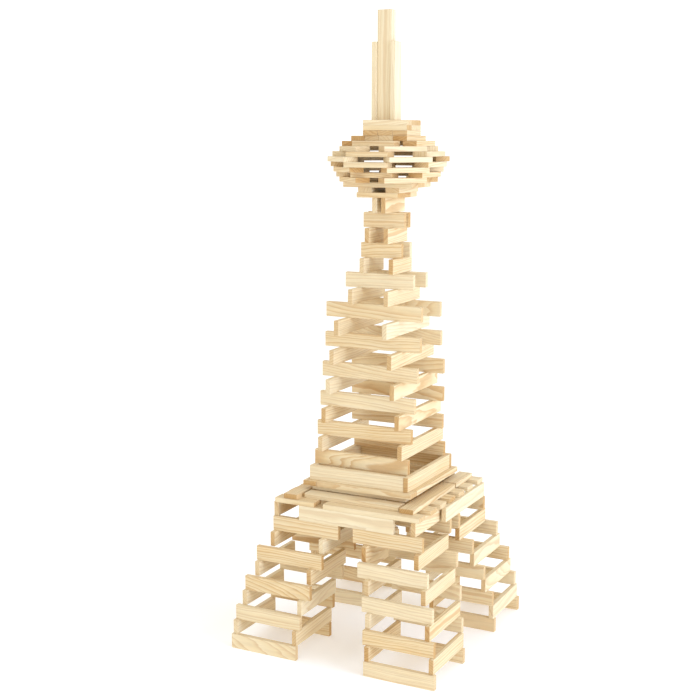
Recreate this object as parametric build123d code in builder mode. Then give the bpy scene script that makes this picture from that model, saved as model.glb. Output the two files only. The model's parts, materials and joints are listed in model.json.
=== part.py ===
from build123d import *
import os
from math import sin

# The tower is dry-stacked from one kind of plank: nothing is glued, pinned or notched.
# X runs across the front, Y runs from front to back, Z is up, and the origin is on the floor
# under the tower's middle. Sizes are in millimetres.

# One plank: its thickness, its width and the three lengths it is cut to
thick = 8.0
wide = 24.0
short = 72.0
medium = 120.0
long = 168.0
hairline = 0.3

# Four legs of crossed pairs, each leg leaning in towards the middle as it climbs
leg_courses = 9
foot_half_across = 180.0
foot_half_along = 188.0
lean_across = 47.0
lean_along = 56.0
lean_course = 8
tuck = 1.6

# The bridge course ties the legs together; its side rails lap past each other
bridge_y = 129.0
rail_front_end = -129.0
rail_back_end = 131.0
rail_x = 116.0
lap_x = 128.0
bearer_x = 27.0
bearer_end = 124.0

# Four layers of flat boards cover the bridge course. Side boards are given by the front ends
# of their long and short boards
deck_half = 128.0
deck_edge_y = 121.0
floor_spacing = 38.0
left_boards_x = -101.0
left_boards_start = (-130.0, 42.0)
right_boards_x = 100.0
right_boards_start = (-120.0, 52.0)
apron_y = 102.0
joist_spacing = 40.0
bed_spacing = 50.0
frame_half = 96.0
box_half = 88.0

# The shaft is a chimney of crossed pairs that close in course by course. Each pair is given
# from the bottom up as (half its outer spread, how far it has crept to the right)
shaft_cross_pairs = ((73, -2), (67, -1.5), (61, 1), (54, 3), (47, 3), (41, 2.5))
shaft_side_pairs = ((74, 0), (69, 0), (61, 0.5), (54.5, 1), (47, 0.5), (36, 3))
collar_pair = (26.5, 7)

# The neck is a thin chimney under the pod, side pairs and cross pairs by turns
neck_pairs = ((29, 5.5), (19, 6), (21, 5.5), (14, 7), (12, 9.5))

# The pod is a double cone of rings, every other ring turned. Each ring is given from the bottom
# up as the reach of its front and back planks and the reach of its two side planks
pod_rings = ((70, 70), (63, 75), (80, 80), (86, 85), (90, 90), (79, 82), (70, 70), (57, 65))
ring_turn = 48.0
pod_foot_slip = 6.5
pod_slip = 9.0

# The cap is a block of flat layers that has crept and turned a little on the pod
cap_slip = 15.0
cap_turn = 7.0
mast_slip = 4.5

# Heights of the stacks, from the floor up
bridge_z = leg_courses * wide
deck_z = bridge_z + wide
box_z = deck_z + 4 * thick
shaft_z = box_z + wide
collar_z = shaft_z + 2 * len(shaft_cross_pairs) * wide
neck_z = collar_z + wide
pod_z = neck_z + len(neck_pairs) * wide
ring_z = pod_z + 3 * thick
cap_z = ring_z + len(pod_rings) * thick
mast_z = cap_z + 4 * thick

os.makedirs("parts", exist_ok=True)


def write(part, name):
    """Label a finished sub-part and write it as one STEP file."""
    part.label = name
    export_step(part, f"parts/{name}.step")


def lay(places, length, depth, height):
    """Set equal blocks down, each place being (x, y, z, turn) of the middle of the underside."""
    for x, y, z, turn in places:
        with Locations(Location((x, y, z), (0, 0, turn))):
            Box(length, depth, height, align=(Align.CENTER, Align.CENTER, Align.MIN))


def lay_on_edge(places, length):
    """Planks on their narrow edge, along X before they are turned."""
    lay(places, length, thick, wide)


def lay_flat(places, length):
    """Planks on their broad face, along X before they are turned."""
    lay(places, length, wide, thick)


def hand_laid(x, y, z, turn, count):
    """A place nudged by a millimetre and half a degree at most, as a hand leaves it."""
    slip = 1.0 * sin(1.7 * count)
    slant = 0.5 * sin(2.4 * count)
    if turn:
        return (x, y + slip, z, turn + slant)
    return (x + slip, y, z, slant)


def pair_across(pair, z, count):
    """Two planks along X, in front of and behind the middle, their outer faces one spread apart."""
    half_spread, slip = pair
    reach = half_spread - thick / 2
    return [hand_laid(slip, side * reach, z, 0, count + side) for side in (-1, 1)]


def pair_along(pair, z, count):
    """Two planks along Y, to the left and right of the middle, their outer faces one spread apart."""
    half_spread, slip = pair
    reach = half_spread - thick / 2
    return [hand_laid(slip + side * reach, 0, z, 90, count + side) for side in (-1, 1)]


def pinwheel(half, length, z, depth, hand=1):
    """Four planks round a square, each butting on the next with a hairline left between them."""
    slip = hand * (half - length / 2 + hairline)
    places = []
    for quarter in range(4):
        middle = Vector(slip, depth / 2 - half, 0).rotate(Axis.Z, 90 * quarter)
        places.append((middle.X, middle.Y, z, 90 * quarter))
    return places


def ring(reaches, x, z, turn):
    """Four flat planks round a middle at x, their outer faces at the reach of their own side."""
    places = []
    for quarter in range(4):
        middle = Vector(0, wide / 2 - reaches[quarter % 2], 0).rotate(Axis.Z, turn + 90 * quarter)
        places.append((x + middle.X, middle.Y, z, turn + 90 * quarter))
    return places


def side_by_side(count, x, z, along=False, turn=0.0):
    """Flat planks next to each other with a hairline between them, lying across or along."""
    pitch = wide + hairline
    places = []
    for step in range(count):
        spot = (step - (count - 1) / 2) * pitch
        middle = Vector(spot, 0, 0) if along else Vector(0, spot, 0)
        middle = middle.rotate(Axis.Z, turn)
        places.append((x + middle.X, middle.Y, z, turn + (90 if along else 0)))
    return places


# ---- Legs ----
def leg_middle(course):
    """How far a leg's middle stands from the tower's, across and along, at a course."""
    climb = course / lean_course
    across = foot_half_across - lean_across * climb ** 1.75 - medium / 2
    along = foot_half_along - lean_along * climb ** 1.5 - medium / 2
    return across, along


def leg_pair(course, end, side, count):
    """The two planks of one course of the leg at that end and side of the tower."""
    across, along = leg_middle(course)
    half = (medium - thick) / 2
    z = course * wide
    if course % 2 == 0:
        spots = [(side * across, end * along + row * half, 0) for row in (-1, 1)]
    else:
        half = half - tuck * course
        spots = [(side * across + row * half, end * along, 90) for row in (-1, 1)]
    return [hand_laid(x, y, z, turn, count + row) for row, (x, y, turn) in enumerate(spots)]


for end, end_name in ((-1, "front"), (1, "back")):
    for side, side_name in ((-1, "left"), (1, "right")):
        start = 3 + 5 * end + 2 * side
        with BuildPart() as leg_cross_planks:
            for course in range(0, leg_courses, 2):
                lay_on_edge(leg_pair(course, end, side, start + 3 * course), medium)
        write(leg_cross_planks.part, f"{end_name}_{side_name}_leg_cross_planks")

        with BuildPart() as leg_side_planks:
            for course in range(1, leg_courses, 2):
                lay_on_edge(leg_pair(course, end, side, start + 3 * course), medium)
        write(leg_side_planks.part, f"{end_name}_{side_name}_leg_side_planks")


# ---- Bridge course ----
with BuildPart() as front_bridge_plank:
    lay_on_edge([(0, -bridge_y, bridge_z, 0)], long)
write(front_bridge_plank.part, "front_bridge_plank")

with BuildPart() as back_bridge_plank:
    lay_on_edge([(0, bridge_y, bridge_z, 0)], long)
write(back_bridge_plank.part, "back_bridge_plank")

# Each side has a medium rail on the front leg, lapped by a long one from the back leg
with BuildPart() as right_rail_planks:
    lay_on_edge([(rail_x, rail_front_end + medium / 2, bridge_z, 90)], medium)
    lay_on_edge([(lap_x, rail_back_end - long / 2, bridge_z, 90)], long)
write(right_rail_planks.part, "right_rail_planks")

with BuildPart() as left_rail_planks:
    lay_on_edge([(-lap_x, rail_front_end + medium / 2, bridge_z, 90)], medium)
    lay_on_edge([(-rail_x, rail_back_end - long / 2, bridge_z, 90)], long)
write(left_rail_planks.part, "left_rail_planks")

# The inner plank of each leg's top pair carries the inner ends of the floor boards
with BuildPart() as floor_bearers:
    for x in (-bearer_x, bearer_x):
        for end in (-1, 1):
            lay_on_edge([(x, end * (bearer_end - medium / 2), bridge_z, 90)], medium)
write(floor_bearers.part, "floor_bearers")


# ---- Deck ----
# The bottom layer: a long and a short board along the front and back, medium boards between
with BuildPart() as deck_floor_boards:
    for end in (-1, 1):
        lay_flat([(-end * (deck_half - long / 2), end * deck_edge_y, deck_z, 0)], long)
        lay_flat([(end * (deck_half - short / 2), end * deck_edge_y, deck_z, 0)], short)
    for row in range(-2, 3):
        for side in (-1, 1):
            x = side * (deck_half - medium / 2)
            lay_flat([(x, row * floor_spacing, deck_z, 0)], medium)
write(deck_floor_boards.part, "deck_floor_boards")

# The second layer: side boards and aprons round the edge, joists under the shaft
four_steps = (-1.5, -0.5, 0.5, 1.5)
second_z = deck_z + thick
with BuildPart() as deck_left_boards:
    lay_flat([(left_boards_x, left_boards_start[0] + long / 2, second_z, 90)], long)
    lay_flat([(left_boards_x, left_boards_start[1] + short / 2, second_z, 90)], short)
write(deck_left_boards.part, "deck_left_boards")

with BuildPart() as deck_right_boards:
    lay_flat([(right_boards_x, right_boards_start[0] + long / 2, second_z, 90)], long)
    lay_flat([(right_boards_x, right_boards_start[1] + short / 2, second_z, 90)], short)
write(deck_right_boards.part, "deck_right_boards")

with BuildPart() as deck_front_board:
    lay_flat([(0, -apron_y, second_z, 0)], long)
write(deck_front_board.part, "deck_front_board")

with BuildPart() as deck_back_board:
    lay_flat([(0, apron_y, second_z, 0)], long)
write(deck_back_board.part, "deck_back_board")

with BuildPart() as deck_joists:
    lay_flat([(joist_spacing * step, 0, second_z, 90) for step in four_steps], long)
write(deck_joists.part, "deck_joists")

# The third layer is recessed, and the fourth is a frame that overhangs it
third_z = second_z + thick
with BuildPart() as shaft_bed_boards:
    lay_flat([(0, bed_spacing * step, third_z, 0) for step in four_steps], long)
write(shaft_bed_boards.part, "shaft_bed_boards")

fourth_z = third_z + thick
with BuildPart() as shaft_frame_boards:
    lay_flat(pinwheel(frame_half, long, fourth_z, wide), long)
write(shaft_frame_boards.part, "shaft_frame_boards")

# The shaft stands on a closed box of four planks, each butting on the next the other way round
with BuildPart() as shaft_box_walls:
    lay_on_edge(pinwheel(box_half, long, box_z, thick, hand=-1), long)
write(shaft_box_walls.part, "shaft_box_walls")


# ---- Shaft ----
for pair, (cross, side) in enumerate(zip(shaft_cross_pairs, shaft_side_pairs)):
    z = shaft_z + 2 * pair * wide
    side_length = long if pair + 1 < len(shaft_side_pairs) else medium
    with BuildPart() as shaft_cross_pair:
        lay_on_edge(pair_across(cross, z, 5 * pair), long)
    write(shaft_cross_pair.part, f"shaft_cross_pair_{pair + 1}")

    with BuildPart() as shaft_side_pair:
        lay_on_edge(pair_along(side, z + wide, 7 * pair), side_length)
    write(shaft_side_pair.part, f"shaft_side_pair_{pair + 1}")

with BuildPart() as shaft_collar_pair:
    lay_on_edge(pair_across(collar_pair, collar_z, 4), medium)
write(shaft_collar_pair.part, "shaft_collar_pair")


# ---- Neck ----
for course, pair in enumerate(neck_pairs):
    z = neck_z + course * wide
    with BuildPart() as neck_pair:
        places = pair_across(pair, z, 3 * course) if course % 2 else pair_along(pair, z, 3 * course)
        lay_on_edge(places, short)
    write(neck_pair.part, f"neck_pair_{course + 1}")


# ---- Pod ----
# The foot: a short layer, two spaced planks and a wider layer
with BuildPart() as pod_foot_layer:
    lay_flat(side_by_side(3, pod_foot_slip, pod_z), short)
write(pod_foot_layer.part, "pod_foot_layer")

with BuildPart() as pod_foot_spacers:
    spots = (pod_slip - wide, pod_slip + wide)
    lay_flat([(x, 0, pod_z + thick, 90) for x in spots], short)
write(pod_foot_spacers.part, "pod_foot_spacers")

with BuildPart() as pod_floor_layer:
    lay_flat(side_by_side(3, pod_foot_slip, pod_z + 2 * thick), medium)
write(pod_floor_layer.part, "pod_floor_layer")

for number, reaches in enumerate(pod_rings):
    with BuildPart() as pod_ring:
        turn = 0 if number % 2 else ring_turn
        lay_flat(ring(reaches, pod_slip, ring_z + number * thick, turn), short)
    write(pod_ring.part, f"pod_ring_{number + 1}")


# ---- Cap ----
with BuildPart() as cap_floor_layer:
    lay_flat(side_by_side(4, pod_slip, cap_z, along=True), short)
write(cap_floor_layer.part, "cap_floor_layer")

for layer in range(1, 4):
    with BuildPart() as cap_layer:
        z = cap_z + layer * thick
        lay_flat(side_by_side(3, cap_slip, z, along=(layer == 1), turn=cap_turn), short)
    write(cap_layer.part, f"cap_block_layer_{layer}")


# ---- Mast ----
# Two long planks stand back to back between two medium ones, a hairline from each other
mast_half_y = (thick + hairline) / 2
mast_side_x = (wide + thick) / 2 + hairline
for name, x, y, turn, height in (
    ("mast_front_plank", mast_slip, -mast_half_y, 0, long),
    ("mast_back_plank", mast_slip, mast_half_y, 0, long),
    ("mast_left_plank", mast_slip - mast_side_x, 0, 90, medium),
    ("mast_right_plank", mast_slip + mast_side_x, 0, 90, medium),
):
    with BuildPart() as mast_plank:
        lay([(x, y, mast_z, turn)], wide, thick, height)
    write(mast_plank.part, name)
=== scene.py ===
# %% [markdown]
# # A lawn-game tower of loose pine boards
#
# The real object is a tower, about a metre tall, that a family stacks on the lawn and tries not to
# knock down. It is made of one kind of thing only: a thin sawn pine board, three times as wide as
# it is thick, cut to three lengths. About two hundred of them are laid on each other, with no glue.
#
# The engineering model already says where every board is. What is left for Blender is how it looks:
# the soft edges, the growth rings, the end grain, the light. This lesson goes through them in that
# order, and each cell prints what it made.

import json
from math import cos, pi, sin

import bpy
import numpy as np
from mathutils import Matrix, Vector

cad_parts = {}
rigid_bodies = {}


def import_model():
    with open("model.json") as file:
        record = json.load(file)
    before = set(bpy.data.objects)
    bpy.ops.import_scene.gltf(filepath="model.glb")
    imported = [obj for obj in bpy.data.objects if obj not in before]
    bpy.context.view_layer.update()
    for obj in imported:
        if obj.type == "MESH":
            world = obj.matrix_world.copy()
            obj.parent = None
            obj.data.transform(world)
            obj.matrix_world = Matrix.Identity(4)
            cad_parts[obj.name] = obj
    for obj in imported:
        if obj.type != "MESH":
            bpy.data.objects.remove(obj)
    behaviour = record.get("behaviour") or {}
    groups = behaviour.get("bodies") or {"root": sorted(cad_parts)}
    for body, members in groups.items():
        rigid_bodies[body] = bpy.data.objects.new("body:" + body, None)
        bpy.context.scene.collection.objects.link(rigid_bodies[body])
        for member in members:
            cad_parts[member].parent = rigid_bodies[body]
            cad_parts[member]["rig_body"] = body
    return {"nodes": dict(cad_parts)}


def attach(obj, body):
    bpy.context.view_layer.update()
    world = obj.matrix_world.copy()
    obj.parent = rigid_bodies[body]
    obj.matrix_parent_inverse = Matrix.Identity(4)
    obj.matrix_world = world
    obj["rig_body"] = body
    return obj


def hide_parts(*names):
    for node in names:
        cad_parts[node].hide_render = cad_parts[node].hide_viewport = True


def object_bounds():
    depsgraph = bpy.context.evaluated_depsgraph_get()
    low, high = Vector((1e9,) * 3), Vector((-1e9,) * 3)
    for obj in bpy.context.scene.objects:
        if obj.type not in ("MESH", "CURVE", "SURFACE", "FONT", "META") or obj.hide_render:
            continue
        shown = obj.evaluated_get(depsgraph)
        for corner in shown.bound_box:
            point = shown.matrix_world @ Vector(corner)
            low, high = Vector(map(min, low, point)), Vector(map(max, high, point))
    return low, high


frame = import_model()
cad_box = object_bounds()

# %% [markdown]
# ## The camera
#
# A camera is three things: where it stands, what it looks at and how long its lens is. A tall thin
# object is usually taken with a longish lens from a little above the middle, so that its upright
# lines stay upright. This one stands two metres off, to the right of the front, and looks eleven
# degrees down. The lens is then shifted up a little, so that the picture takes in more above
# without tipping the camera.

# %% Camera
tower_low, tower_high = (np.array(corner, float) for corner in cad_box)
tower_height = tower_high[2] - tower_low[2]

stand = Vector((0.8723, -1.8057, 0.8263))
aim = Vector((-0.0597, 0.0, 0.4397))

lens = bpy.data.cameras.new("camera")
lens.sensor_width = 36.0
lens.lens = 64.03
lens.shift_y = 0.030
lens.clip_end = 200.0
camera = bpy.data.objects.new("camera", lens)
camera.location = stand
camera.rotation_euler = (aim - stand).to_track_quat("-Z", "Y").to_euler()
bpy.context.collection.objects.link(camera)
bpy.context.scene.camera = camera
print("camera stands", round((aim - stand).length, 2), "m from what it looks at")

# %% [markdown]
# ## Colours and nodes
#
# Paint charts and picture editors write a colour as six hex digits, on the sRGB scale, which is
# bent to suit the eye. Blender mixes light, so it needs the straight one, which is called linear.
# One function makes the change for every colour in this file.
#
# A material is a chain of small nodes. Writing the chain in code is easiest with one helper, which
# adds a node, sets its choices and fills its sockets, each with a number or with a link.

# %% Two helpers
def straight(hex_colour):
    """sRGB hex to linear light: each channel is ((c + 0.055) / 1.055) ** 2.4, or c / 12.92 when
    dark."""
    digits = hex_colour.lstrip("#")
    channels = np.array([int(digits[i:i + 2], 16) / 255 for i in (0, 2, 4)])
    linear = np.where(channels > 0.04045, ((channels + 0.055) / 1.055) ** 2.4, channels / 12.92)
    return (*linear.tolist(), 1.0)


def add(tree, kind, title, settings=None, sockets=None):
    """Add one node. Each socket gets a number, a colour or another node's output to link from."""
    made = tree.nodes.new(kind)
    made.label = title
    made.location = (200 * (len(tree.nodes) % 12), -260 * (len(tree.nodes) // 12))
    for choice, value in (settings or {}).items():
        setattr(made, choice, value)
    for socket, value in (sockets or {}).items():
        if isinstance(value, bpy.types.NodeSocket):
            tree.links.new(value, made.inputs[socket])
        else:
            made.inputs[socket].default_value = value
    return made


def paint_ramp(ramp, stops):
    """Give a colour ramp its stops, each a place from 0 to 1 and a colour."""
    while len(ramp.color_ramp.elements) < len(stops):
        ramp.color_ramp.elements.new(0.5)
    for element, (place, colour) in zip(ramp.color_ramp.elements, stops):
        element.position = place
        element.color = colour


print("middle grey is", round(straight("#808080")[0], 3), "on the straight scale")

# %% [markdown]
# ## Finding the boards
#
# A part of the engineering model can hold several boards that don't touch. To finish each board on
# its own, the boards have to be told apart again. The mesh that comes in is loose triangles, so its
# corners are first made one wherever they share a place. Then each corner takes the lowest number
# among the corners that it shares a triangle with, over and over, until nothing changes: what has
# the same number then is one board.
#
# A board is a box, and the directions in which the eight corners of a box are spread most, next and
# least are its length, width and thickness. Those three directions are the eigenvectors of the
# corners' spread, so no board needs its size or its turn written down here.

# %% Tell the boards apart
def merged_corners(cad):
    """The corners of a part, with those in one place made one, and its triangles as corner
    numbers."""
    mesh = cad.data
    mesh.calc_loop_triangles()
    places = np.empty(len(mesh.vertices) * 3, np.float32)
    mesh.vertices.foreach_get("co", places)
    triangles = np.empty(len(mesh.loop_triangles) * 3, np.int32)
    mesh.loop_triangles.foreach_get("vertices", triangles)
    places = places.reshape(-1, 3).astype(float)
    hundredths = np.round(places * 1e5).astype(np.int64)
    _, first, shared = np.unique(hundredths, axis=0, return_index=True, return_inverse=True)
    return places[first], shared.reshape(-1)[triangles].reshape(-1, 3)


def connected(count, triangles):
    """Number the boards: the lowest corner number spreads through each board's triangles."""
    number = np.arange(count)
    while True:
        lower = number.copy()
        np.minimum.at(lower, triangles, number[triangles].min(axis=1)[:, None])
        if np.array_equal(lower, number):
            return np.unique(number, return_inverse=True)[1].reshape(-1)
        number = lower


def measure_board(corners):
    """A board's middle, its length, width and thickness directions as rows, and half its sizes."""
    middle = corners.mean(axis=0)
    away = corners - middle
    directions = np.linalg.eigh(away.T @ away)[1].T[::-1].copy()
    for row in (0, 1):
        directions[row] *= np.sign(directions[row][np.abs(directions[row]).argmax()])
    directions[2] = np.cross(directions[0], directions[1])
    return middle, directions, np.abs(away @ directions.T).max(axis=0)


boards = {}
for node_name, cad in sorted(frame["nodes"].items()):
    corners, triangles = merged_corners(cad)
    number = connected(len(corners), triangles)
    boards[node_name] = [measure_board(corners[number == n]) for n in range(number.max() + 1)]

lengths = [round(2000 * half[0]) for found in boards.values() for _, _, half in found]
print(len(lengths), "boards:", {size: lengths.count(size) for size in sorted(set(lengths))})

# %% [markdown]
# ## The shape of a sawn board
#
# A planed pine board isn't a perfect box. Its long edges, which a joiner calls arrises, are eased
# by a stroke of sandpaper so that they don't splinter, and the sawn ends are broken by a smaller
# chamfer. The easing is well under a millimetre, but it catches a line of light along each edge
# and leaves a thin dark line where two boards lie together, and without it the stack looks like
# one block with lines ruled on it.
#
# A Bevel modifier could do it. A section carried along a path is as short to write, and it knows
# the board's own directions, which the grain needs next. So the section is a rectangle with a
# quarter circle at each corner, and it is carried along four stations: the end, just inside it,
# and the same two at the other end.

# %% One eased board
arc_steps = 3


def rounded_section(half_width, half_thickness, ease):
    """Quarter circles at four corners: the corner's centre plus ease times (cos a, sin a), with a
    running on by 90 degrees for each corner."""
    corner = np.repeat(np.arange(4), arc_steps)
    angle = (corner + np.tile(np.linspace(0, 1, arc_steps), 4)) * pi / 2
    side = np.array([(1, 1), (-1, 1), (-1, -1), (1, -1)])[corner]
    centre = side * (half_width - ease, half_thickness - ease)
    return centre + ease * np.column_stack([np.cos(angle), np.sin(angle)])


def eased_board(half, ease):
    """Carry the section along the length: x steps from end to end, and y and z are the section's,
    drawn in by the ease at both ends. Gives the points and the faces."""
    stations = np.array([-half[0], ease - half[0], half[0] - ease, half[0]])
    drawn_in = np.array([ease, 0, 0, ease])
    rings = [
        np.column_stack([np.full(4 * arc_steps, x),
                         rounded_section(half[1] - d, half[2] - d, ease)])
        for x, d in zip(stations, drawn_in)
    ]
    around = np.arange(4 * arc_steps)
    onward = np.roll(around, -1)
    count = len(around)
    sides = [
        np.column_stack([s * count + around, s * count + onward,
                         (s + 1) * count + onward, (s + 1) * count + around])
        for s in range(len(stations) - 1)
    ]
    ends = [around[::-1].tolist(), ((len(stations) - 1) * count + around).tolist()]
    return np.concatenate(rings), np.concatenate(sides).tolist() + ends


sample_points, sample_faces = eased_board(np.array([0.084, 0.012, 0.004]), 0.0005)
print("one board has", len(sample_points), "points and", len(sample_faces), "faces")

# %% [markdown]
# ## Where each board was in the tree
#
# The rings on a board's face, its edge and its end are one pattern: the same rings of the same log,
# cut three ways. If the faces are textured one by one, the rings don't meet at the edges and the
# wood looks like printed paper. So every point of every board is given its place in a log, and the
# material draws rings round the log's middle, the pith. The faces then agree by themselves.
#
# Where the saw took the board decides the look. With the pith beside the board its broad face shows
# straight close lines, and with the pith under it wide flowing ones. A board is never cut quite
# along the log, so it is also leaned by a few degrees, and that makes lines run out at its edges.

# %% Cut each board from a log
dice = np.random.default_rng(20)
# Distances are in metres. A board's middle lies this far from the pith, and leans by a spread of
# so many degrees across and through
pith_near, pith_far = 0.035, 0.120
trunk_length = 4
lean_degrees = (1.0, 3.2)


def place_in_log(local):
    """Log place: the board's own place, plus a lean that grows with the length, plus the way out
    from the pith, which is (r cos t, r sin t) for a random r and t."""
    out = dice.uniform(pith_near, pith_far)
    round_pith = dice.uniform(0, 2 * pi)
    lean_across, lean_through = np.radians(dice.normal(0, lean_degrees))
    along, across, through = local.T
    return np.column_stack([
        along + dice.uniform(0, trunk_length),
        across + sin(lean_across) * along + out * cos(round_pith),
        through + sin(lean_through) * along + out * sin(round_pith),
    ])


# Pine that grew fast enough for cheap boards has rings 2 to 5 mm apart. The wider end is used,
# since a closer ring is finer than the picture can show
ring_gap_low, ring_gap_high = 0.0024, 0.0042
print("rings", 1000 * ring_gap_low, "to", 1000 * ring_gap_high, "mm apart")

# %% [markdown]
# ## The finish: bare planed pine
#
# Pine grows a wide pale band each spring and a narrow amber one each summer. The change from
# spring to summer is gradual and the change back is sudden, so a line on pine has one sharp side.
# The boards are planed and left bare, so the surface is matt, with the hard summer bands standing
# a hair proud and a little smoother than the rest. On top of the rings come thin fibres along the
# length, a slow drift of warmer and paler wood, a different tone for each board, darker ends, since
# open cells swallow light, and edges that hands have rubbed.

# %% Pine colours
spring_wood = straight("#ECDDBB")
late_spring_wood = straight("#E6D3AA")
summer_wood = straight("#D4B586")
warm_heart = straight("#F4E0BE")
handled = straight("#D2BC96")
end_wood = straight("#DCC4A0")

# %% Planed pine
pine = bpy.data.materials.new("planed_bare_pine")
pine.use_nodes = True
tree = pine.node_tree
tree.nodes.clear()

log = add(tree, "ShaderNodeAttribute", "place in the log", {"attribute_name": "log_place"})
own = add(tree, "ShaderNodeAttribute", "place on the board", {"attribute_name": "board_place"})
size = add(tree, "ShaderNodeAttribute", "half the board's size", {"attribute_name": "board_half"})
tone = add(tree, "ShaderNodeAttribute", "tone of the board", {"attribute_name": "board_tone"})
gap = add(tree, "ShaderNodeAttribute", "ring gap", {"attribute_name": "ring_gap"})

# %% [markdown]
# The rings are circles about the pith, but no tree is round. A slow noise, long in the direction of
# the trunk and short across it, pushes each point by about two millimetres before the distance to
# the pith is taken. The distance over the ring gap counts the rings, and what is left after the
# whole number says how far through its year the wood is.

# %% Rings
# A noise's scale is one over its length along the log and its width across it, in metres
wander_scale = (9.0, 34.0, 34.0)
wander_push = (0.0, 0.0085, 0.0085)
slow = add(tree, "ShaderNodeMapping", "long slow wander", {"vector_type": "POINT"},
           {"Vector": log.outputs["Vector"], "Scale": wander_scale})
wander = add(tree, "ShaderNodeTexNoise", "wander", None,
             {"Vector": slow.outputs["Vector"], "Scale": 1.0, "Detail": 3.0, "Roughness": 0.5})
centred = add(tree, "ShaderNodeVectorMath", "wander about nothing", {"operation": "SUBTRACT"},
              {0: wander.outputs["Color"], 1: (0.5, 0.5, 0.5)})
pushed = add(tree, "ShaderNodeVectorMath", "push by millimetres", {"operation": "MULTIPLY_ADD"},
             {0: centred.outputs[0], 1: wander_push, 2: log.outputs["Vector"]})
flat = add(tree, "ShaderNodeVectorMath", "across the trunk only", {"operation": "MULTIPLY"},
           {0: pushed.outputs[0], 1: (0.012, 1.0, 1.0)})
radius = add(tree, "ShaderNodeVectorMath", "distance to the pith", {"operation": "LENGTH"},
             {0: flat.outputs[0]})
years = add(tree, "ShaderNodeMath", "rings out from the pith", {"operation": "DIVIDE"},
            {0: radius.outputs["Value"], 1: gap.outputs["Fac"]})
weather = add(tree, "ShaderNodeTexNoise", "good and bad years", {"noise_dimensions": "1D"},
              {"W": years.outputs[0], "Scale": 0.45, "Detail": 1.0})
uneven = add(tree, "ShaderNodeMath", "uneven years", {"operation": "MULTIPLY_ADD"},
             {0: weather.outputs[0], 1: 1.6, 2: years.outputs[0]})
season = add(tree, "ShaderNodeMath", "part of the year", {"operation": "FRACT"},
             {0: uneven.outputs[0]})
bands = add(tree, "ShaderNodeValToRGB", "spring to summer", None, {"Fac": season.outputs[0]})
paint_ramp(bands, [(0.0, spring_wood), (0.52, late_spring_wood), (0.83, summer_wood),
                   (0.93, summer_wood), (1.0, spring_wood)])
strength = add(tree, "ShaderNodeMapRange", "pale boards have faint rings", None,
               {"Value": tone.outputs["Fac"], "To Min": 0.40, "To Max": 1.0})
ringed = add(tree, "ShaderNodeMix", "rings of this board", {"data_type": "RGBA"},
             {"Factor": strength.outputs[0], 6: spring_wood, 7: bands.outputs["Color"]})
summer = add(tree, "ShaderNodeMapRange", "how much summer wood",
             {"interpolation_type": "SMOOTHSTEP"},
             {"Value": season.outputs[0], "From Min": 0.45, "From Max": 0.85})

# %% [markdown]
# Fibres are cells a few millimetres long and hundredths of a millimetre wide. They are drawn about
# two thirds of a millimetre wide here, as coarse as they need to be to show at all. Streaks are
# bundles of them, some 4 mm wide. The drift is a much larger noise, 22 mm wide and 80 mm long, that
# mixes in the warmer wood nearer the heart.

# %% Fibres, drift and tone
# Again one over the length and the width in metres
fibre_scale = (60.0, 1500.0, 1500.0)
streak_scale = (14.0, 240.0, 240.0)
drift_scale = (12.0, 45.0, 45.0)
thin = add(tree, "ShaderNodeMapping", "long thin fibres", {"vector_type": "POINT"},
           {"Vector": log.outputs["Vector"], "Scale": fibre_scale})
fibre = add(tree, "ShaderNodeTexNoise", "fibres", None,
            {"Vector": thin.outputs["Vector"], "Scale": 1.0, "Detail": 4.0, "Roughness": 0.6})
streaky = add(tree, "ShaderNodeMapping", "streaks", {"vector_type": "POINT"},
              {"Vector": log.outputs["Vector"], "Scale": streak_scale})
streak = add(tree, "ShaderNodeTexNoise", "streaks", None,
             {"Vector": streaky.outputs["Vector"], "Scale": 1.0, "Detail": 2.0})
broad = add(tree, "ShaderNodeMapping", "slow drift", {"vector_type": "POINT"},
            {"Vector": log.outputs["Vector"], "Scale": drift_scale})
drift = add(tree, "ShaderNodeTexNoise", "drift", None,
            {"Vector": broad.outputs["Vector"], "Scale": 1.0, "Detail": 2.0})
warmth = add(tree, "ShaderNodeMath", "drift and tone", {"operation": "MULTIPLY"},
             {0: drift.outputs[0], 1: tone.outputs["Fac"]})
warmed = add(tree, "ShaderNodeMix", "warmer wood", {"data_type": "RGBA", "blend_type": "MULTIPLY"},
             {"Factor": warmth.outputs[0], 6: ringed.outputs[2], 7: warm_heart})
fibre_shade = add(tree, "ShaderNodeMapRange", "fibre shade", None,
                  {"Value": fibre.outputs[0], "From Min": 0.3, "From Max": 0.7,
                   "To Min": 0.95, "To Max": 1.03})
streak_shade = add(tree, "ShaderNodeMapRange", "streak shade", None,
                   {"Value": streak.outputs[0], "From Min": 0.3, "From Max": 0.7,
                    "To Min": 0.94, "To Max": 1.03})
shade = add(tree, "ShaderNodeMath", "both shades", {"operation": "MULTIPLY"},
            {0: fibre_shade.outputs[0], 1: streak_shade.outputs[0]})
grained = add(tree, "ShaderNodeVectorMath", "grained wood", {"operation": "SCALE"},
              {0: warmed.outputs[2], "Scale": shade.outputs[0]})

# %% [markdown]
# Every point also knows its place on its own board and half the board's size, so the distance to
# the nearest faces is a subtraction. Within some tenths of a millimetre of the end the surface is
# end grain. Where the two smallest of the three distances are both small the point is on an edge,
# and there the wood is rubbed, more in some places than in others.

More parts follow.
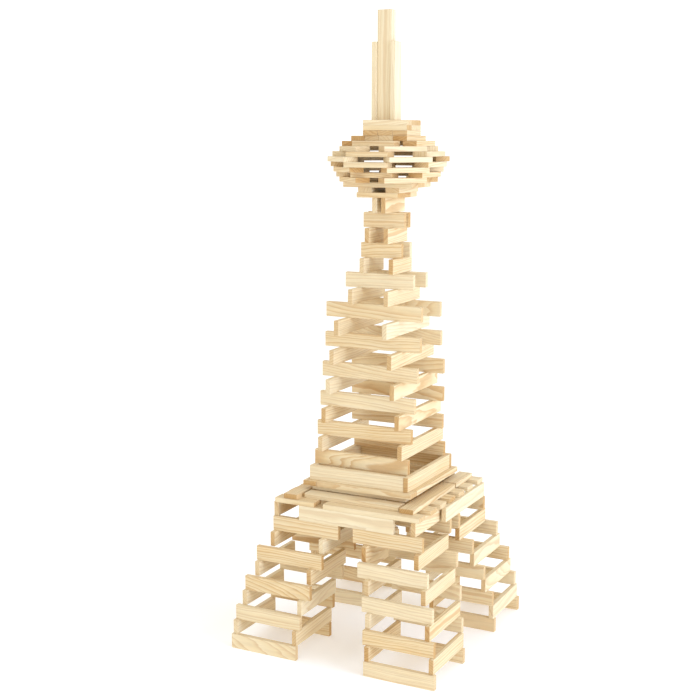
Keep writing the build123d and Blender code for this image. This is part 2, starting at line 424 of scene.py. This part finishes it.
# %% Ends and edges
absolute = add(tree, "ShaderNodeVectorMath", "either way", {"operation": "ABSOLUTE"},
               {0: own.outputs["Vector"]})
inset = add(tree, "ShaderNodeVectorMath", "distance in from each face", {"operation": "SUBTRACT"},
            {0: size.outputs["Vector"], 1: absolute.outputs[0]})
inset_xyz = add(tree, "ShaderNodeSeparateXYZ", "three distances", None, {0: inset.outputs[0]})
at_end = add(tree, "ShaderNodeMapRange", "end grain", {"interpolation_type": "SMOOTHSTEP"},
             {"Value": inset_xyz.outputs["X"], "From Min": 0.0007, "From Max": 0.0002})
soaked = add(tree, "ShaderNodeMath", "ends soak up more or less", {"operation": "MULTIPLY"},
             {0: at_end.outputs[0], 1: tone.outputs["Fac"]})
low_xy = add(tree, "ShaderNodeMath", "nearer of two", {"operation": "MINIMUM"},
             {0: inset_xyz.outputs["X"], 1: inset_xyz.outputs["Y"]})
high_xy = add(tree, "ShaderNodeMath", "farther of two", {"operation": "MAXIMUM"},
              {0: inset_xyz.outputs["X"], 1: inset_xyz.outputs["Y"]})
with_z = add(tree, "ShaderNodeMath", "nearer or third", {"operation": "MAXIMUM"},
             {0: low_xy.outputs[0], 1: inset_xyz.outputs["Z"]})
second = add(tree, "ShaderNodeMath", "second nearest face", {"operation": "MINIMUM"},
             {0: with_z.outputs[0], 1: high_xy.outputs[0]})
rub_noise = add(tree, "ShaderNodeTexNoise", "rubbed in places", None,
                {"Vector": own.outputs["Vector"], "Scale": 120.0, "Detail": 3.0})
rub_reach = add(tree, "ShaderNodeMapRange", "reach of the rubbing", None,
                {"Value": rub_noise.outputs[0], "From Min": 0.35, "From Max": 0.7,
                 "To Min": 0.0003, "To Max": 0.0016})
rubbed = add(tree, "ShaderNodeMapRange", "rubbed edge", {"interpolation_type": "SMOOTHSTEP"},
             {"Value": second.outputs[0], "From Min": rub_reach.outputs[0], "From Max": 0.0,
              "To Max": 0.45})
ended = add(tree, "ShaderNodeMix", "darker ends", {"data_type": "RGBA", "blend_type": "MULTIPLY"},
            {"Factor": soaked.outputs[0], 6: grained.outputs[0], 7: end_wood})
coloured = add(tree, "ShaderNodeMix", "rubbed edges", {"data_type": "RGBA"},
               {"Factor": rubbed.outputs[0], 6: ended.outputs[2], 7: handled})

# %% [markdown]
# The surface itself: bare wood scatters light widely, so its roughness is high, from 0.58 on the
# hard summer bands to 0.8 on the open spring wood, and more on the sawn ends. Its index of
# refraction is that of cellulose, about 1.53. The relief is about a tenth of a millimetre, at half
# strength: rings, then fibres.

# %% Surface
relief = add(tree, "ShaderNodeMath", "rings and fibres", {"operation": "MULTIPLY_ADD"},
             {0: summer.outputs[0], 1: 0.6, 2: fibre.outputs[0]})
bump = add(tree, "ShaderNodeBump", "relief", None,
           {"Height": relief.outputs[0], "Strength": 0.5, "Distance": 0.00012})
polish = add(tree, "ShaderNodeMapRange", "summer wood is smoother", None,
             {"Value": summer.outputs[0], "To Min": 0.80, "To Max": 0.58})
matt = add(tree, "ShaderNodeMath", "ends are rougher", {"operation": "MULTIPLY_ADD"},
           {0: at_end.outputs[0], 1: 0.12, 2: polish.outputs[0]})
surface = add(tree, "ShaderNodeBsdfPrincipled", "bare pine", None,
              {"Base Color": coloured.outputs[2], "Roughness": matt.outputs[0], "IOR": 1.53,
               "Normal": bump.outputs[0]})
add(tree, "ShaderNodeOutputMaterial", "out", None, {"Surface": surface.outputs[0]})
print("planed pine has", len(tree.nodes), "nodes")

# %% [markdown]
# ## Putting the boards in place
#
# Each part of the engineering model is replaced by one mesh of eased boards in exactly the same
# place. The points are worked out about the board's own middle, turned by its three directions and
# moved there. Along with them go the values that the material reads: the place in the log, the
# place on the board, the board's half size, its tone and its ring gap.

# %% Build every board
# The easing is in metres, and a tone runs from 0 for the palest board to 1
ease_low, ease_high = 0.00035, 0.0006
tone_low, tone_high = 0.15, 1.0
# The mast's boards get a lower tone than the rest, so they come out paler, with fainter rings
mast_paleness = 0.3


def store(mesh, name, kind, values):
    """Keep one value, or one vector, for each point of a mesh, under a name the material reads."""
    attribute = mesh.attributes.new(name, kind, "POINT")
    field = "vector" if kind == "FLOAT_VECTOR" else "value"
    attribute.data.foreach_set(field, np.ascontiguousarray(values, np.float32).ravel())


def build_part(node_name, found):
    """Join the eased boards of one part into a mesh: each point is the middle plus its own place
    turned by the board's directions."""
    points, faces, held = [], [], {"log": [], "own": [], "half": [], "tone": [], "gap": []}
    start = 0
    paleness = mast_paleness if node_name.startswith("mast") else 1.0
    for middle, directions, half in found:
        ease = dice.uniform(ease_low, ease_high)
        local, own_faces = eased_board(half, ease)
        points.append(middle + local @ directions)
        faces += [[corner + start for corner in face] for face in own_faces]
        held["log"].append(place_in_log(local))
        held["own"].append(local)
        held["half"].append(np.tile(half, (len(local), 1)))
        tone_here = dice.uniform(tone_low, tone_high) * paleness
        held["tone"].append(np.full(len(local), tone_here))
        held["gap"].append(np.full(len(local), dice.uniform(ring_gap_low, ring_gap_high)))
        start += len(local)
    mesh = bpy.data.meshes.new(node_name + "_wood")
    mesh.from_pydata(np.concatenate(points), [], faces)
    store(mesh, "log_place", "FLOAT_VECTOR", np.concatenate(held["log"]))
    store(mesh, "board_place", "FLOAT_VECTOR", np.concatenate(held["own"]))
    store(mesh, "board_half", "FLOAT_VECTOR", np.concatenate(held["half"]))
    store(mesh, "board_tone", "FLOAT", np.concatenate(held["tone"]))
    store(mesh, "ring_gap", "FLOAT", np.concatenate(held["gap"]))
    mesh.materials.append(pine)
    piece = bpy.data.objects.new(node_name + "_wood", mesh)
    bpy.context.collection.objects.link(piece)
    return piece


face_count = 0
for node_name, found in boards.items():
    piece = build_part(node_name, found)
    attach(piece, frame["nodes"][node_name]["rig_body"])
    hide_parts(node_name)
    face_count += len(piece.data.polygons)
print(len(boards), "parts with", face_count, "faces")

# %% [markdown]
# ## Floor and light
#
# The tower stands on a plain white floor in a bright room. A light table is a large matt sheet with
# a little light coming through it, so a wide disc that glows faintly does for the floor. The room
# is a white sky all round, brighter low down, and the main light is a big soft window to the right,
# a little in front and above. Faces that look right are then the palest, the front ones are a step
# deeper, and the inside of the stack, which sees only other boards, goes amber, because light that
# has bounced off pine twice is twice as warm.

# %% Floor
floor_radius = 60.0


def flat_disc(radius, steps):
    """A disc of rings: the point at ring r and angle a is (r cos a, r sin a, 0)."""
    angle = np.linspace(0, 2 * pi, steps, endpoint=False)
    reach = radius * np.array([0.02, 0.08, 0.3, 1.0])  # closer rings near the middle
    ring_points = np.stack([np.outer(reach, np.cos(angle)), np.outer(reach, np.sin(angle)),
                            np.zeros((len(reach), steps))], axis=-1).reshape(-1, 3)
    around = np.arange(steps)
    onward = np.roll(around, -1)
    bands = [np.column_stack([r * steps + around, (r + 1) * steps + around,
                              (r + 1) * steps + onward, r * steps + onward])
             for r in range(len(reach) - 1)]
    return ring_points, np.concatenate(bands).tolist() + [around.tolist()]


floor_mesh = bpy.data.meshes.new("floor")
floor_points, floor_faces = flat_disc(floor_radius, 96)
floor_mesh.from_pydata(floor_points, [], floor_faces)
floor = bpy.data.objects.new("floor", floor_mesh)
bpy.context.collection.objects.link(floor)

sweep = bpy.data.materials.new("matt_white_sweep")
sweep.use_nodes = True
floor_tree = sweep.node_tree
floor_tree.nodes.clear()
where = add(floor_tree, "ShaderNodeTexCoord", "place")
mottle = add(floor_tree, "ShaderNodeTexNoise", "faint mottle", None,
             {"Vector": where.outputs["Object"], "Scale": 3.0, "Detail": 3.0})
paper = add(floor_tree, "ShaderNodeValToRGB", "paper white", None, {"Fac": mottle.outputs[0]})
paint_ramp(paper, [(0.3, straight("#F6F4F0")), (0.7, straight("#FAF9F6"))])
floor_surface = add(floor_tree, "ShaderNodeBsdfPrincipled", "matt paper", None,
                    {"Base Color": paper.outputs["Color"], "Roughness": 0.9,
                     "Emission Color": (1.0, 1.0, 1.0, 1.0), "Emission Strength": 0.2})
add(floor_tree, "ShaderNodeOutputMaterial", "out", None, {"Surface": floor_surface.outputs[0]})
floor_mesh.materials.append(sweep)
print("floor is", 2 * floor_radius, "m across")

# %% Light
horizon_light, zenith_light = 1.32, 0.82
room = bpy.data.worlds.new("white_room")
room.use_nodes = True
sky = room.node_tree.nodes["Background"]
direction = add(room.node_tree, "ShaderNodeTexCoord", "direction")
height = add(room.node_tree, "ShaderNodeSeparateXYZ", "height", None,
             {0: direction.outputs["Generated"]})
dome = add(room.node_tree, "ShaderNodeMapRange", "brighter low down", None,
           {"Value": height.outputs["Z"], "From Min": 0.0, "From Max": 1.0,
            "To Min": horizon_light, "To Max": zenith_light})
room.node_tree.links.new(dome.outputs[0], sky.inputs["Strength"])
sky.inputs["Color"].default_value = (1.0, 1.0, 1.0, 1.0)
bpy.context.scene.world = room


def soft_window(name, place, across, power, colour):
    """A square lamp that faces the middle of the tower."""
    lamp = bpy.data.lights.new(name, "AREA")
    lamp.size = across
    lamp.energy = power
    lamp.color = straight(colour)[:3]
    holder = bpy.data.objects.new(name, lamp)
    holder.location = place
    middle = Vector((0, 0, tower_height / 2))
    holder.rotation_euler = (middle - Vector(place)).to_track_quat("-Z", "Y").to_euler()
    bpy.context.collection.objects.link(holder)


soft_window("right_window", place=(2.8, -0.6, 1.1), across=1.4, power=56.0, colour="#C8DCFF")
bpy.context.scene.view_settings.view_transform = "Standard"
